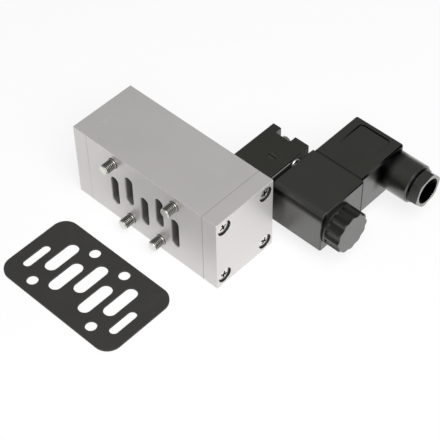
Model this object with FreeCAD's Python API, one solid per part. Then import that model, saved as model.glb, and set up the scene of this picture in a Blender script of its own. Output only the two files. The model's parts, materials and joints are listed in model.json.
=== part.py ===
import FreeCAD, Part
import math
import os

# Solenoid valve for a sub-base with the staggered five-port interface, lying on its side.
# Millimetres. The origin is the centre of the port interface, on the port face.
# +X runs along the spool towards the pilot end, +Y into the block, +Z up.
# The block is a square bar with a cap at each end. The pilot stands on the block's back.

Vector = FreeCAD.Vector
X_AXIS = Vector(1, 0, 0)
Y_AXIS = Vector(0, 1, 0)
Z_AXIS = Vector(0, 0, 1)

# Clearances
running_gap = 0.05
free_gap = 0.4
end_gap = 0.1

# Small screws, their holes and the air passages repeat often, so they are many-sided
screw_sides = 12
head_sides = 24
passage_sides = 8

# Valve block and end caps
block_length = 68.0
block_depth = 34.5
block_height = 40.0
block_edge = 0.25
cap_thickness = 8.0
cap_edge = 0.2
cap_seam = 0.15

# Port interface
port_pitch = 9.0
port_width = 4.6
port_length = 16.6
port_stagger = 3.0
port_overrun = 1.0

# Mounting screws
mount_offset = 14.0
mount_screw_d = 5.0
mount_head_d = 8.5
mount_head_h = 5.0
mount_socket = 4.0
mount_socket_depth = 2.5
mount_sink = 0.8
mount_tip = 0.5
stud_length = 5.75
thread_start = 0.25
neck_d = 4.2

# Cap screws
cap_screw_span_y = 25.0
cap_screw_span_z = 30.0
cap_screw_d = 4.0
cap_head_d = 7.0
cap_head_h = 2.6
cap_head_sink = 0.6
cap_thread_depth = 9.0

# Spool; a land covers the web beside a shut port by land_cover
spool_d = 12.0
waist_d = 7.2
spool_stroke = 4.0
land_cover = 0.8
spring_land = 11.0

# Pilot piston and its chamber
chamber_d = 22.0
piston_thickness = 2.8
piston_recess_d = 16.0
piston_recess_depth = 1.0

# Return spring and its pocket in the cap
spring_pocket_d = 12.6
spring_pocket_depth = 4.5
spring_od = 10.4
spring_wire = 1.0
spring_turns = 5
spring_steps = 12
wire_sides = 5

# Pilot passages
passage_d = 1.6
passage_wall = 1.55
pilot_in_x = 16.5
pilot_out_x = 30.6

# Pilot base
pilot_height = 22.0
pilot_axis_y = 48.0
base_left = 13.9
base_width = 20.5
base_depth = 31.5
base_edge = 0.5
notch_offset = 4.7
notch_width = 8.2
notch_depth = 3.6
base_screw_d = 3.0
base_screw_head_d = 5.5
base_screw_head_h = 2.8
base_screw_slot = 0.8
base_screw_slot_depth = 0.9
base_screw_span = 13.0
base_thread_depth = 7.0

# Nozzle and armature
nozzle_x = 26.9
nozzle_d = 5.0
nozzle_length = 6.9
nozzle_tip_d = 2.2
nozzle_cone = 1.4
orifice_d = 1.0
armature_d = 8.0
armature_length = 22.4
nose_d = 5.2
nose_length = 2.5
nose_seal_d = 3.0
nose_seal_length = 2.0
nose_seal_proud = 0.2
armature_stroke = 0.8
chamber_bore_d = 10.4
chamber_floor = 0.9

# Armature spring
armature_spring_bore_d = 4.4
armature_spring_depth = 7.5
armature_spring_od = 3.8
armature_spring_wire = 0.5
armature_spring_turns = 6
armature_spring_steps = 8
core_recess = 1.2

# Armature tube and fixed core
tube_wall = 0.64
tube_flange_d = 16.0
tube_flange_thickness = 1.5
tube_flange_sink = 1.0
stem_length = 7.4

# Clamp plate
plate_thickness = 0.6
plate_width = 20.4
plate_height = 21.4
plate_corner = 1.5
plate_offset = 1.0
plate_screw_d = 3.0
plate_screw_head_d = 5.4
plate_screw_offset = 8.0
plate_screw_reach = 7.5

# Coil
coil_pad_size = 15.0
coil_pad = 1.4
coil_length = 28.3
coil_near_wall = 9.4
coil_depth = 27.3
coil_round = 4.0
coil_edge = 0.5

# Blades and plug seal
blade_width = 6.3
blade_thickness = 0.8
blade_spacing = 11.0
blade_reach = 8.6
blade_root = 4.9
earth_offset = 9.5
plug_seal_thickness = 0.5
plug_seal_inset = 0.5
plug_seal_play = 0.25

# Plug housing
plug_left = 37.7
plug_width = 26.2
plug_depth = 27.9
plug_edge = 1.2
plug_far_edge = 1.0
plug_wall = 1.9
panel_inset_x = 4.9
panel_inset_y = 2.7
panel_width = 16.4
panel_length = 16.1
panel_corner = 2.0
panel_sink = 0.35
insert_play = 0.2
insert_height = 13.0
pillar_size = 8.4
plug_screw_d = 3.0
plug_screw_head_d = 5.5
plug_screw_head_h = 2.0
plug_screw_slot = 0.8
plug_screw_slot_depth = 1.0
plug_screw_sink = 0.6
plug_screw_reach = 5.2
contact_width = 7.2
contact_thickness = 3.2
contact_height = 9.0

# Cable gland
gland_y = 88.2
barrel_d = 18.2
barrel_length = 13.5
barrel_root = 3.9
barrel_bore_d = 13.2
barrel_floor = 0.6
cable_hole_d = 8.4
grommet_length = 7.5
grommet_inner_d = 7.2
grommet_bevel = 1.5
gland_collar_d = 16.2
gland_collar = 1.2
gland_hex = 15.0
gland_hex_length = 4.3
gland_hex_turn = 12.0
gland_bore_d = 10.2
gland_mouth_d = 12.6
gland_mouth_depth = 2.0
gland_chamfer = 0.6

# Coil nut
nut_seal_d = 19.4
nut_seal_inner_d = 11.0
nut_seal_thickness = 0.9
nut_d = 19.3
nut_flange = 0.9
nut_length = 8.3
nut_flutes = 12
nut_flute_d = 5.8
nut_flute_depth = 1.0
nut_roof = 1.4
nut_chamfer = 0.4

# Manual override
override_x = 26.9
override_y = 51.0
override_d = 4.0
override_foot_d = 3.0
override_shoulder = 5.0
override_depth = 7.8
override_sink = 0.3
override_slot = 0.8
override_slot_depth = 1.0
override_cam = 1.5

# Mounting gasket, taken off and lying flat beside the valve
gasket_length = 68.0
gasket_width = 40.0
gasket_thickness = 1.0
gasket_corner = 7.0
gasket_hole_d = 5.2
gasket_slot_width = 6.2
gasket_slot_length = 18.0
pilot_slot_width = 4.2
pilot_slot_length = 14.6
pilot_slot_x = 26.5
pilot_slot_shift = 3.8
gasket_x = -0.6
gasket_y = -35.9

# Places and sizes that follow from those above
half_length = block_length / 2
half_height = block_height / 2
half_pilot = pilot_height / 2
bore_y = block_depth / 2
bore_d = spool_d + 2 * running_gap
port_depth = bore_y + bore_d / 2 + port_overrun
chamber_start = half_length - piston_thickness - spool_stroke - 2 * end_gap
piston_start = half_length - end_gap - piston_thickness
spool_left = -2 * port_pitch + port_width / 2 + land_cover - spring_land
passage_y = bore_y + chamber_d / 2 + passage_wall + passage_d / 2
mount_seat = block_depth - mount_sink - mount_head_h
cap_seat = cap_thickness - cap_head_sink - cap_head_h
base_right = base_left + base_width
base_far = block_depth + base_depth
notch_left = base_left + notch_offset
notch_floor = base_far - notch_depth
base_screw_x = notch_left + notch_width / 2
nozzle_root = nozzle_x - nozzle_length
chamber_bore_start = nozzle_x - chamber_floor
tube_start = base_right - tube_flange_sink
plate_start = tube_start + tube_flange_thickness
plate_end = plate_start + plate_thickness
coil_start = plate_end + coil_pad
coil_end = coil_start + coil_length
armature_front = nozzle_x + nose_seal_proud
armature_back = armature_front + armature_length
core_front = armature_back + armature_stroke + end_gap
tube_inner_d = armature_d + 2 * running_gap
tube_outer_d = tube_inner_d + 2 * tube_wall
coil_bore_d = tube_outer_d + 4 * running_gap
coil_near = pilot_axis_y - coil_near_wall
coil_far = coil_near + coil_depth
nut_start = coil_end + nut_seal_thickness
nut_end = nut_start + nut_length
plug_near = coil_far + plug_seal_thickness
plug_far = plug_near + plug_depth
plug_right = plug_left + plug_width
plug_centre = plug_left + plug_width / 2
insert_far = plug_near + insert_height
contact_near = insert_far - contact_height
plug_screw_seat = plug_far - plug_screw_sink - plug_screw_head_h
barrel_start = plug_right - barrel_root
barrel_end = plug_right + barrel_length
gland_seat = plug_right + barrel_floor
grommet_end = gland_seat + grommet_length
collar_end = barrel_end + gland_collar
gland_end = collar_end + gland_hex_length
override_top = half_pilot - override_sink
override_seat = override_top - override_shoulder
override_bottom = override_top - override_depth


# Plain solids and outlines

def block(x0, x1, y0, y1, z0, z1):
    return Part.makeBox(x1 - x0, y1 - y0, z1 - z0, Vector(x0, y0, z0))


def rod_x(diameter, x0, x1, y, z):
    return Part.makeCylinder(diameter / 2, x1 - x0, Vector(x0, y, z), X_AXIS)


def rod_y(diameter, y0, y1, x, z):
    return Part.makeCylinder(diameter / 2, y1 - y0, Vector(x, y0, z), Y_AXIS)


def rod_z(diameter, z0, z1, x, y):
    return Part.makeCylinder(diameter / 2, z1 - z0, Vector(x, y, z0), Z_AXIS)


def regular_outline(across_flats, sides, height=0, turn=0):
    """Regular polygon about the Z axis at one height."""
    radius = across_flats / 2 / math.cos(math.pi / sides)
    points = []
    for i in range(sides):
        angle = 2 * math.pi * i / sides + math.radians(turn)
        points.append(Vector(radius * math.cos(angle), radius * math.sin(angle), height))
    return Part.makePolygon(points + points[:1])


def prism(across_flats, sides, thickness, turn=0):
    """Regular prism about the origin, standing on the XY plane."""
    return Part.Face(regular_outline(across_flats, sides, 0, turn)).extrude(Vector(0, 0, thickness))


def facing_x(shape, x, y, z):
    """Takes a shape drawn about the origin so that its X, Y and Z run along Y, Z and X."""
    turned = shape.copy()
    turned.rotate(Vector(0, 0, 0), Vector(1, 1, 1), 120)
    turned.translate(Vector(x, y, z))
    return turned


def facing_y(shape, x, y, z):
    """Takes a shape drawn about the origin so that its X, Y and Z run along -X, Z and Y."""
    turned = shape.copy()
    turned.rotate(Vector(0, 0, 0), Vector(0, 1, 1), 180)
    turned.translate(Vector(x, y, z))
    return turned


def sided_x(across_flats, x0, x1, y, z, sides=screw_sides):
    return facing_x(prism(across_flats, sides, x1 - x0), x0, y, z)


def sided_y(across_flats, y0, y1, x, z, sides=screw_sides):
    return facing_y(prism(across_flats, sides, y1 - y0), x, y0, z)


def turned_x(profile, y, z):
    """Solid of revolution about a line along X; the profile lists (x, radius)."""
    points = [Vector(x, y + r, z) for x, r in profile]
    face = Part.Face(Part.makePolygon(points + points[:1]))
    return face.revolve(Vector(0, y, z), X_AXIS, 360)


def edges_where(shape, test):
    return [edge for edge in shape.Edges if test(edge.BoundBox)]


def near(value, target):
    return abs(value - target) < 0.001


def rounded_plate(width, height, thickness, radius):
    """Plate centred on the origin in X and Y, standing on the XY plane, its upright edges rounded."""
    plate = Part.makeBox(width, height, thickness, Vector(-width / 2, -height / 2, 0))
    return plate.makeFillet(radius, edges_where(plate, lambda b: near(b.ZLength, thickness)))


def slot_prism(width, length, thickness):
    """Prism with full round ends about the origin, its long way along Y."""
    straight = (length - width) / 2
    half = width / 2
    corners = [Vector(-half, -straight, 0), Vector(half, -straight, 0)]
    corners += [Vector(half, straight, 0), Vector(-half, straight, 0)]
    low = Part.Arc(corners[0], Vector(0, -length / 2, 0), corners[1])
    high = Part.Arc(corners[2], Vector(0, length / 2, 0), corners[3])
    right = Part.LineSegment(corners[1], corners[2])
    left = Part.LineSegment(corners[3], corners[0])
    outline = Part.Wire([low.toShape(), right.toShape(), high.toShape(), left.toShape()])
    return Part.Face(outline).extrude(Vector(0, 0, thickness))


def coil_spring(outer, wire, start, end, turns, steps, y, z):
    """Helical spring along X as a flat-faced tube, its wire staying between the two end planes."""
    mean = (outer - wire) / 2
    half = wire / 2
    count = turns * steps
    rise = (end - start - wire) / count
    rings = []
    for i in range(count + 1):
        turn = 2 * math.pi * i / steps
        ring = []
        for j in range(wire_sides):
            side = 2 * math.pi * j / wire_sides
            radius = mean + half * math.cos(side)
            x = start + half + rise * i + half * math.sin(side)
            ring.append(Vector(x, y + radius * math.cos(turn), z + radius * math.sin(turn)))
        rings.append(ring)
    faces = [Part.Face(Part.makePolygon(ring + ring[:1])) for ring in (rings[0], rings[-1])]
    for one, two in zip(rings, rings[1:]):
        for j in range(wire_sides):
            k = (j + 1) % wire_sides
            faces.append(Part.Face(Part.makePolygon([one[j], one[k], two[k], one[j]])))
            faces.append(Part.Face(Part.makePolygon([one[j], two[k], two[j], one[j]])))
    solid = Part.makeSolid(Part.makeShell(faces))
    if solid.Volume < 0:
        solid.reverse()
    return solid


# Where repeated features sit

def port_places():
    """Centre of each port slot: three low, two high."""
    places = []
    for i in range(-2, 3):
        shift = -port_stagger if i % 2 == 0 else port_stagger
        places.append((i * port_pitch, shift))
    return places


def mount_places():
    """Centres of the mounting screws: a wide pair above, a close pair below."""
    places = []
    for side in (-1, 1):
        places.append((side * 2 * port_pitch, mount_offset))
        places.append((side * port_pitch, -mount_offset))
    return places


def cap_screw_places():
    """Centres of the four screws of a cap, in Y and Z."""
    places = []
    for a in (-1, 1):
        for b in (-1, 1):
            places.append((bore_y + a * cap_screw_span_y / 2, b * cap_screw_span_z / 2))
    return places


def plate_screw_places():
    return [(pilot_axis_y + s * plate_screw_offset, s * plate_screw_offset) for s in (-1, 1)]


def blade_places():
    """Centre and turn of each blade: two live blades, then the earth blade across them."""
    places = [(plug_centre, s * blade_spacing / 2, False) for s in (-1, 1)]
    return places + [(plug_centre - earth_offset, 0, True)]


# Valve block and caps

def valve_body():
    body = block(-half_length, half_length, 0, block_depth, -half_height, half_height)
    body = body.makeFillet(block_edge, edges_where(body, lambda b: near(b.XLength, block_length)))
    cuts = [rod_x(bore_d, -half_length, half_length, bore_y, 0)]
    cuts.append(rod_x(chamber_d, chamber_start, half_length, bore_y, 0))
    for x, z in port_places():
        cuts.append(facing_y(slot_prism(port_width, port_length, port_depth), x, 0, z))
    for x, z in mount_places():
        cuts.append(sided_y(mount_screw_d + free_gap, 0, block_depth, x, z, head_sides))
        cuts.append(sided_y(mount_head_d + 2 * free_gap, mount_seat, block_depth, x, z, head_sides))
    for y, z in cap_screw_places():
        for side in (-1, 1):
            inner = side * (half_length - cap_thread_depth - free_gap)
            low, high = sorted((inner, side * half_length))
            cuts.append(sided_x(cap_screw_d + 2 * running_gap, low, high, y, z))
    for side in (-1, 1):
        bottom = block_depth - base_thread_depth - free_gap
        z = side * base_screw_span / 2
        cuts.append(sided_y(base_screw_d + 2 * running_gap, bottom, block_depth, base_screw_x, z))
    cuts.append(sided_y(passage_d, passage_y, block_depth, pilot_out_x, 0, passage_sides))
    cuts.append(sided_x(passage_d, pilot_out_x, half_length, passage_y, 0, passage_sides))
    cuts.append(supply_drilling())
    return body.cut(cuts)


def supply_drilling():
    """Slanted drilling from the floor of the middle port to the foot of the pilot."""
    start = Vector(0, port_depth - passage_d, 0)
    way = Vector(pilot_in_x, block_depth, 0) - start
    return Part.makeCylinder(passage_d / 2, way.Length + passage_d, start, way)


def on_block_end(shape, side):
    """Moves a shape drawn from X = 0 outwards to the block's end; side is -1 or 1."""
    if side < 0:
        shape = shape.mirror(Vector(0, 0, 0), X_AXIS)
    shape.translate(Vector(side * half_length, 0, 0))
    return shape


def end_cap(side):
    """Cap with counterbored screw holes, and the spring's pocket or the pilot's air recess."""
    plate = block(0, cap_thickness, 0, block_depth, -half_height, half_height)
    plate = plate.makeFillet(block_edge, edges_where(plate, lambda b: near(b.XLength, cap_thickness)))
    plate = plate.makeChamfer(cap_seam, edges_where(plate, lambda b: near(b.XMax, 0)))
    plate = plate.makeChamfer(cap_edge, edges_where(plate, lambda b: near(b.XMin, cap_thickness)))
    cuts = []
    for y, z in cap_screw_places():
        cuts.append(sided_x(cap_screw_d + free_gap, 0, cap_thickness, y, z))
        cuts.append(sided_x(cap_head_d + free_gap, cap_seat, cap_thickness, y, z, head_sides))
    if side < 0:
        cuts.append(rod_x(spring_pocket_d, 0, spring_pocket_depth, bore_y, 0))
    else:
        half = passage_d / 2
        cuts.append(rod_x(piston_recess_d, 0, piston_recess_depth, bore_y, 0))
        cuts.append(block(0, piston_recess_depth, bore_y, passage_y + half, -half, half))
    return on_block_end(plate.cut(cuts), side)


def cap_screw(side, y, z):
    """Screw whose head is sunk in the cap."""
    shank = sided_x(cap_screw_d, -cap_thread_depth, cap_seat, y, z)
    head = sided_x(cap_head_d, cap_seat, cap_seat + cap_head_h, y, z)
    return on_block_end(shank.fuse(head), side)


def mounting_screw(x, z):
    """Captive socket-head screw; its threaded end stands out of the port face on a thinner neck."""
    thread = rod_y(mount_screw_d, -stud_length, -thread_start, x, z)
    thread = thread.makeChamfer(mount_tip, edges_where(thread, lambda b: near(b.YMax, -stud_length)))
    neck = sided_y(neck_d, -thread_start, mount_seat, x, z)
    top = mount_seat + mount_head_h
    head = sided_y(mount_head_d, mount_seat, top, x, z)
    socket = sided_y(mount_socket, top - mount_socket_depth, top, x, z, 6)
    return thread.fuse([neck, head]).cut(socket)


# Bore parts

def spool():
    """Three-land spool, resting with the middle port open to the port on its spring side."""
    land = spool_d / 2
    waist = waist_d / 2
    edge = port_width / 2 + land_cover
    reach = 2 * port_pitch - edge
    profile = [(spool_left, 0), (spool_left, land), (-reach, land), (-reach, waist)]
    profile += [(spool_stroke - edge, waist), (spool_stroke - edge, land), (edge, land), (edge, waist)]
    profile += [(reach + spool_stroke, waist), (reach + spool_stroke, land)]
    profile += [(piston_start, land), (piston_start, 0)]
    return turned_x(profile, bore_y, 0)


def pilot_piston():
    """Disc that pushes the spool, its rubber lip bonded on."""
    diameter = chamber_d - 2 * running_gap
    return rod_x(diameter, piston_start, piston_start + piston_thickness, bore_y, 0)


def return_spring():
    start = -half_length - spring_pocket_depth
    return coil_spring(spring_od, spring_wire, start, spool_left, spring_turns, spring_steps, bore_y, 0)


# Pilot base

def pilot_base():
    low = -half_pilot
    base = block(base_left, base_right, block_depth, base_far, low, half_pilot)
    base = base.makeFillet(base_edge, edges_where(base, lambda b: near(b.YLength, base_depth)))
    cuts = [block(notch_left, notch_left + notch_width, notch_floor, base_far, low, half_pilot)]
    for side in (-1, 1):
        z = side * base_screw_span / 2
        cuts.append(sided_y(base_screw_d + 2 * running_gap, block_depth, notch_floor, base_screw_x, z))
    axis_y = pilot_axis_y
    cuts.append(sided_x(chamber_bore_d, chamber_bore_start, base_right, axis_y, 0, head_sides))
    cuts.append(sided_x(tube_flange_d + 4 * running_gap, tube_start, base_right, axis_y, 0, head_sides))
    cuts.append(rod_x(nozzle_d + running_gap, nozzle_root, chamber_bore_start, axis_y, 0))
    cuts.append(sided_x(passage_d, pilot_in_x, nozzle_root, axis_y, 0, passage_sides))
    cuts.append(sided_y(passage_d, block_depth, axis_y, pilot_in_x, 0, passage_sides))
    cuts.append(sided_y(passage_d, block_depth, axis_y, pilot_out_x, 0, passage_sides))
    for y, z in plate_screw_places():
        inner = base_right - plate_screw_reach - free_gap
        cuts.append(sided_x(plate_screw_d + 2 * running_gap, inner, base_right, y, z))
    shaft_d = override_d + 2 * running_gap
    foot_d = override_foot_d + 2 * running_gap
    cuts.append(rod_z(shaft_d, override_seat, half_pilot, override_x, override_y))
    cuts.append(rod_z(foot_d, override_bottom, override_seat, override_x, override_y))
    return base.cut(cuts)


def base_screw(side):
    """Slotted cheese-head screw from the notch floor into the block."""
    z = side * base_screw_span / 2
    top = notch_floor + base_screw_head_h
    shank = sided_y(base_screw_d, block_depth - base_thread_depth, notch_floor, base_screw_x, z)
    head = sided_y(base_screw_head_d, notch_floor, top, base_screw_x, z)
    half = base_screw_slot / 2
    left = base_screw_x - base_screw_head_d
    right = base_screw_x + base_screw_head_d
    slot = block(left, right, top - base_screw_slot_depth, top, z - half, z + half)
    return shank.fuse(head).cut(slot)


def nozzle():
    """Turned seat with a fine orifice, pressed into the base."""
    outer = nozzle_d / 2
    orifice = orifice_d / 2
    profile = [(nozzle_root, orifice), (nozzle_root, outer), (nozzle_x - nozzle_cone, outer)]
    profile += [(nozzle_x, nozzle_tip_d / 2), (nozzle_x, orifice)]
    return turned_x(profile, pilot_axis_y, 0)


def armature():
    """Plunger with a nose, a seal pocket in front and a spring bore behind."""
    radius = armature_d / 2
    nose = nose_d / 2
    pocket = nose_seal_d / 2 + running_gap
    pocket_floor = nozzle_x + nose_seal_length
    shoulder = armature_front + nose_length
    bore = armature_spring_bore_d / 2
    bore_floor = armature_back - armature_spring_depth
    profile = [(pocket_floor, 0), (pocket_floor, pocket), (armature_front, pocket), (armature_front, nose)]
    profile += [(shoulder, nose), (shoulder, radius), (armature_back, radius), (armature_back, bore)]
    profile += [(bore_floor, bore), (bore_floor, 0)]
    return turned_x(profile, pilot_axis_y, 0)


def armature_seal():
    return rod_x(nose_seal_d, nozzle_x, nozzle_x + nose_seal_length, pilot_axis_y, 0)


def armature_spring():
    start = armature_back - armature_spring_depth
    stop = core_front + core_recess
    outer = armature_spring_od
    wire = armature_spring_wire
    turns = armature_spring_turns
    return coil_spring(outer, wire, start, stop, turns, armature_spring_steps, pilot_axis_y, 0)


def armature_tube():
    """Thin tube with a clamping flange, as long as the coil's seat needs."""
    inner = tube_inner_d / 2
    outer = tube_outer_d / 2
    flange = tube_flange_d / 2
    profile = [(tube_start, inner), (tube_start, flange), (plate_start, flange), (plate_start, outer)]
    profile += [(coil_end, outer), (coil_end, inner)]
    return turned_x(profile, pilot_axis_y, 0)


def fixed_core():
    """Core that closes the tube; its outer end is the stem for the coil nut."""
    core = rod_x(armature_d, core_front, coil_end + stem_length, pilot_axis_y, 0)
    return core.cut(rod_x(armature_spring_bore_d, core_front, core_front + core_recess, pilot_axis_y, 0))


def plate_screw_head(y, z):
    """Countersunk head that ends flush with the clamp plate."""
    bottom = regular_outline(plate_screw_d, screw_sides)
    top = regular_outline(plate_screw_head_d, screw_sides, plate_thickness)
    return facing_x(Part.makeLoft([bottom, top], True, True), plate_start, y, z)


def clamp_plate():
    plate = rounded_plate(plate_width, plate_height, plate_thickness, plate_corner)
    plate = facing_x(plate, plate_start, pilot_axis_y + plate_offset, 0)
    cuts = [sided_x(tube_outer_d + 2 * running_gap, plate_start, plate_end, pilot_axis_y, 0, head_sides)]
    cuts += [plate_screw_head(y, z) for y, z in plate_screw_places()]
    return plate.cut(cuts)


def plate_screw(y, z):
    """Countersunk screw that holds the clamp plate to the base."""
    shank = sided_x(plate_screw_d, base_right - plate_screw_reach, plate_start, y, z)
    return shank.fuse(plate_screw_head(y, z))


# Coil

def coil_body():
    """Potted coil: its upper near edge is well rounded, the others are soft."""
    body = block(coil_start, coil_end, coil_near, coil_far, -half_pilot, half_pilot)
    long_edges = edges_where(body, lambda b: near(b.XLength, coil_length))
    lower = [edge for edge in long_edges if near(edge.BoundBox.ZMax, -half_pilot)]
    body = body.makeChamfer(coil_edge, lower)
    upper_near = edges_where(body, lambda b: near(b.YMax, coil_near) and near(b.ZMin, half_pilot))
    body = body.makeFillet(coil_round, upper_near)
    upper_far = edges_where(body, lambda b: near(b.YMin, coil_far) and near(b.ZMin, half_pilot))
    body = body.makeChamfer(coil_edge, upper_far)
    for x in (coil_start, coil_end):
        body = body.makeChamfer(coil_edge, edges_where(body, lambda b: near(b.XLength, 0) and near(b.XMin, x)))
    pad = coil_pad_size / 2
    body = body.fuse(block(plate_end, coil_start, pilot_axis_y - pad, pilot_axis_y + pad, -pad, pad))
    cuts = [sided_x(coil_bore_d, plate_end, coil_end, pilot_axis_y, 0, head_sides)]
    cuts += coil_blades()
    bottom = coil_far - plug_screw_reach - free_gap
    cuts.append(sided_y(plug_screw_d + 2 * running_gap, bottom, coil_far, plug_centre, 0))
    return body.cut(cuts)


def blade_block(place, width, thickness, y0, y1):
    """Flat bar along Y at a blade's place, turned as that blade is."""
    x, z, across = place
    if across:
        width, thickness = thickness, width
    return block(x - width / 2, x + width / 2, y0, y1, z - thickness / 2, z + thickness / 2)


def coil_blades():
    """Contact blades, each rooted in the coil, with a bevelled tip."""
    tip = coil_far + blade_reach
    blades = []
    for place in blade_places():
        blade = blade_block(place, blade_width, blade_thickness, coil_far - blade_root, tip)
        blades.append(blade.makeChamfer(blade_thickness / 4, edges_where(blade, lambda b: near(b.YMin, tip))))
    return blades


def nut_seal():
    outer = rod_x(nut_seal_d, coil_end, nut_start, pilot_axis_y, 0)
    return outer.cut(sided_x(nut_seal_inner_d, coil_end, nut_start, pilot_axis_y, 0, head_sides))


def coil_nut():
    """Fluted cap nut on the stem, with a thin round flange at its foot."""
    outer = nut_d / 2
    profile = [(nut_start, 0), (nut_start, outer), (nut_end - nut_chamfer, outer)]
    profile += [(nut_end, outer - nut_chamfer), (nut_end, 0)]
    nut = turned_x(profile, pilot_axis_y, 0)
    reach = outer - nut_flute_depth + nut_flute_d / 2
    hole = armature_d + 2 * running_gap
    cuts = [sided_x(hole, nut_start, nut_end - nut_roof, pilot_axis_y, 0, head_sides)]
    for i in range(nut_flutes):
        angle = 2 * math.pi * (i + 0.5) / nut_flutes
        y = pilot_axis_y + reach * math.cos(angle)
        z = reach * math.sin(angle)
        cuts.append(rod_x(nut_flute_d, nut_start + nut_flange, nut_end, y, z))
    return nut.cut(cuts)


# Plug

def plug_seal():
    """Flat seal between coil and plug, with a hole for each blade and the screw."""
    width = plug_width / 2 - plug_seal_inset
    height = half_pilot - plug_seal_inset
    plate = block(plug_centre - width, plug_centre + width, coil_far, plug_near, -height, height)
    cuts = [sided_y(plug_screw_d + free_gap, coil_far, plug_near, plug_centre, 0)]
    for place in blade_places():
        hole_width = blade_width + 2 * plug_seal_play
        hole_thickness = blade_thickness + 2 * plug_seal_play
        cuts.append(blade_block(place, hole_width, hole_thickness, coil_far, plug_near))
    return plate.cut(cuts)


def plug_housing():
    """Hollow housing with the gland barrel on its side and a pillar for the screw."""
    shell = facing_y(rounded_plate(plug_width, pilot_height, plug_depth, plug_edge), plug_centre, plug_near, 0)
    shell = shell.makeFillet(plug_far_edge, edges_where(shell, lambda b: near(b.YMin, plug_far)))
    barrel = rod_x(barrel_d, barrel_start, barrel_end, gland_y, 0)
    barrel = barrel.makeChamfer(gland_chamfer, edges_where(barrel, lambda b: near(b.XMin, barrel_end)))
    low = plug_left + plug_wall
    high = plug_right - plug_wall
    half = half_pilot - plug_wall
    room = block(low, high, plug_near, plug_far - plug_wall, -half, half)
    pillar = pillar_size / 2
    left = plug_centre - pillar
    right = plug_centre + pillar
    cuts = [room.cut(block(left, right, insert_far, plug_far, -pillar, pillar))]
    cuts.append(sided_y(plug_screw_d + free_gap, insert_far, plug_screw_seat, plug_centre, 0))
    head_d = plug_screw_head_d + free_gap
    cuts.append(sided_y(head_d, plug_screw_seat, plug_far, plug_centre, 0, head_sides))
    cuts.append(rod_x(cable_hole_d, high, gland_seat, gland_y, 0))
    cuts.append(rod_x(barrel_bore_d, gland_seat, barrel_end, gland_y, 0))
    panel = rounded_plate(panel_width, panel_length, panel_sink, panel_corner)
    panel_x = plug_left + panel_inset_x + panel_width / 2
    panel_y = plug_far - panel_inset_y - panel_length / 2
    panel.translate(Vector(panel_x, panel_y, half_pilot - panel_sink))
    cuts.append(panel)
    return shell.fuse(barrel).cut(cuts)


def plug_insert():
    """Terminal block with a pocket for each contact and a hole for the screw."""
    wall = plug_wall + insert_play
    half = half_pilot - wall
    insert = block(plug_left + wall, plug_right - wall, plug_near, insert_far, -half, half)
    insert = insert.makeChamfer(plug_edge, edges_where(insert, lambda b: near(b.YLength, insert_height)))
    cuts = [sided_y(plug_screw_d + free_gap, plug_near, insert_far, plug_centre, 0)]
    for place in blade_places():
        width = blade_width + 2 * running_gap
        thickness = blade_thickness + 2 * running_gap
        cuts.append(blade_block(place, width, thickness, plug_near, contact_near))
        cuts.append(blade_block(place, contact_width, contact_thickness, contact_near, insert_far))
    return insert.cut(cuts)


def plug_contact(place):
    """Clamp that grips one blade."""
    clamp = blade_block(place, contact_width, contact_thickness, contact_near, insert_far)
    width = blade_width + 2 * running_gap
    thickness = blade_thickness + 2 * running_gap
    tip = coil_far + blade_reach + free_gap
    return clamp.cut(blade_block(place, width, thickness, contact_near, tip))


def plug_screw():
    """Long slotted screw through the plug into the coil."""
    top = plug_screw_seat + plug_screw_head_h
    shank = sided_y(plug_screw_d, coil_far - plug_screw_reach, plug_screw_seat, plug_centre, 0)
    head = sided_y(plug_screw_head_d, plug_screw_seat, top, plug_centre, 0, head_sides)
    half = plug_screw_slot / 2
    left = plug_centre - plug_screw_head_d
    right = plug_centre + plug_screw_head_d
    return shank.fuse(head).cut(block(left, right, top - plug_screw_slot_depth, top, -half, half))


def gland_grommet():
    """Rubber sleeve that closes on the cable; its outer end is bevelled."""
    outer = barrel_bore_d / 2 - running_gap
    inner = grommet_inner_d / 2
    profile = [(gland_seat, inner), (gland_seat, outer), (grommet_end - grommet_bevel, outer)]
    profile += [(grommet_end, outer - grommet_bevel), (grommet_end, inner)]
    return turned_x(profile, gland_y, 0)


def gland_nut():
    """Hollow hexagon nut whose spigot screws into the barrel and presses on the sleeve; its mouth is flared."""
    spigot = rod_x(barrel_bore_d - 2 * running_gap, grommet_end, barrel_end, gland_y, 0)
    collar = rod_x(gland_collar_d, barrel_end, collar_end, gland_y, 0)
    hexagon = facing_x(prism(gland_hex, 6, gland_hex_length, gland_hex_turn), collar_end, gland_y, 0)
    corner = gland_hex / math.sqrt(3)
    profile = [(collar_end, 0), (collar_end, corner), (gland_end - gland_chamfer, corner)]
    profile += [(gland_end, corner - gland_chamfer), (gland_end, 0)]
    hexagon = hexagon.common(turned_x(profile, gland_y, 0))
    nut = spigot.fuse([collar, hexagon])
    bore = gland_bore_d / 2
    mouth = gland_end - gland_mouth_depth
    profile = [(grommet_end, 0), (grommet_end, bore), (mouth, bore)]
    profile += [(gland_end, gland_mouth_d / 2), (gland_end, 0)]
    return nut.cut(turned_x(profile, gland_y, 0))


# Manual override

def manual_override():
    """Slotted shaft that turns in the base beside the armature's nose, with a flat as its cam."""
    shaft = rod_z(override_d, override_seat, override_top, override_x, override_y)
    foot = rod_z(override_foot_d, override_bottom, override_seat, override_x, override_y)
    half = override_slot / 2
    left = override_x - override_d
    right = override_x + override_d
    slot_floor = override_top - override_slot_depth
    slot = block(left, right, override_y - half, override_y + half, slot_floor, override_top)
    cam_top = override_bottom + override_cam
    cam = block(left, right, override_y, override_y + override_d, override_bottom, cam_top)
    return shaft.fuse(foot).cut([slot, cam])


# Mounting gasket

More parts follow.
